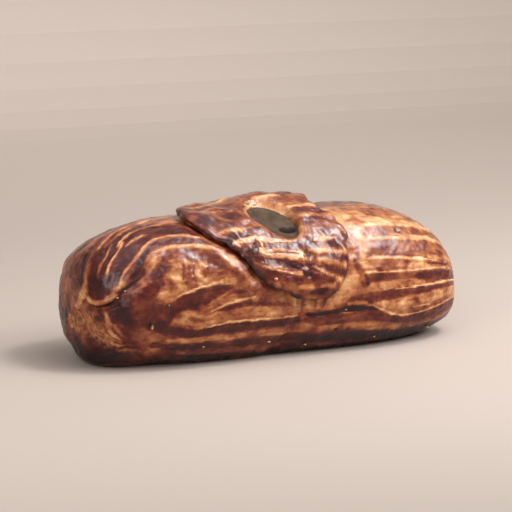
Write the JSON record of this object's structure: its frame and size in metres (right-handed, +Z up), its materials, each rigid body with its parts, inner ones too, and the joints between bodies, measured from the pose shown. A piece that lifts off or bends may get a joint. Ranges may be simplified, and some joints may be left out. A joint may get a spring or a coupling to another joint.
{
  "type": "pate in pastry crust",
  "caption": "Whole free-form loaf of pate baked in a striped glazed pastry crust, with a ragged dough patch on top round an oval chimney filled with jelly.",
  "frame": {"origin": "middle of the footprint box, on the flat underside", "axes": "+Z up, +X along the loaf from the folded end to the plain round end, -Y the side over which the tip of the patch hangs"},
  "size_m": [0.2546, 0.0988, 0.0954],
  "materials": {
    "baked_crust": "glazed, baked dark brown with pale golden scored lines",
    "baked_patch": "glazed, baked dark brown with pale golden streaks",
    "jelly": "wet, olive grey"
  },
  "bodies": {
    "root": {"crust_loaf": "baked_crust", "dough_patch": "baked_patch", "jelly_plug": "jelly"}
  },
  "joints": []
}
